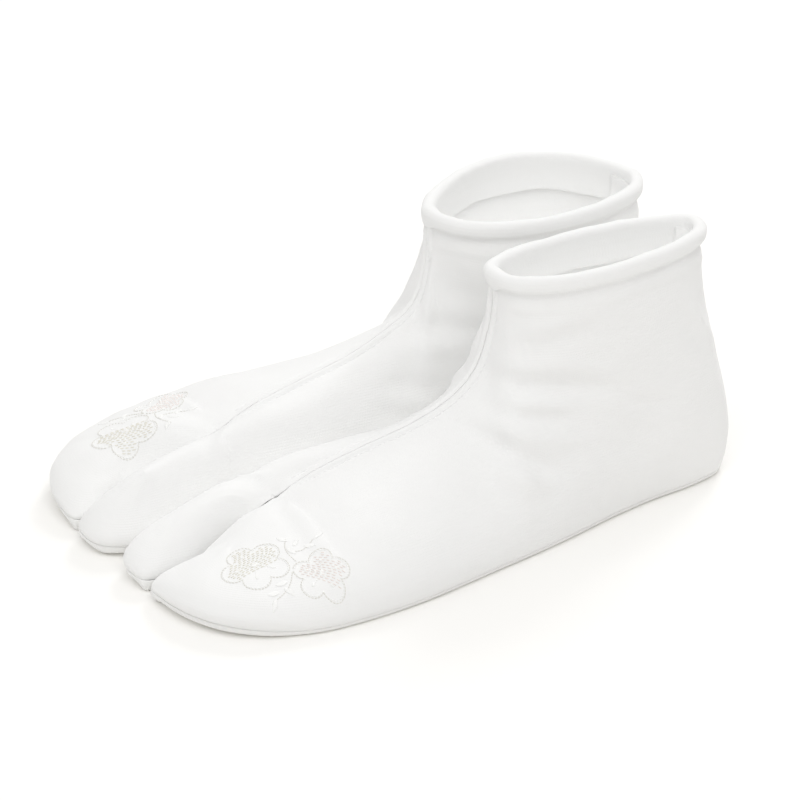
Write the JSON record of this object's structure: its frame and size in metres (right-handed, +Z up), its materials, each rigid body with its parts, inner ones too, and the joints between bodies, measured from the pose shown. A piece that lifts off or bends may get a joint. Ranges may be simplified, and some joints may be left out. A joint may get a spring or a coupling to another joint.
{
  "type": "pair of tabi socks",
  "caption": "Pair of white ankle-high split-toe socks, filled out and standing side by side, open at the rolled collars.",
  "frame": {"origin": "on the ground, at the middle of the pair's box seen from above", "axes": "+Z up; the toes point to -Y; the wearer's left sock is at +X"},
  "size_m": [0.176, 0.237, 0.0964],
  "materials": {
    "white_knit": "soft napped stretch knit, matt",
    "white_sole_cloth": "plain stretch cloth, matt"
  },
  "bodies": {
    "root": {"left_sole": "white_sole_cloth", "left_outer_upper": "white_knit", "left_inner_upper": "white_knit", "left_collar_hem": "white_knit", "left_back_strip": "white_knit", "right_sole": "white_sole_cloth", "right_outer_upper": "white_knit", "right_inner_upper": "white_knit", "right_collar_hem": "white_knit", "right_back_strip": "white_knit"}
  },
  "joints": []
}
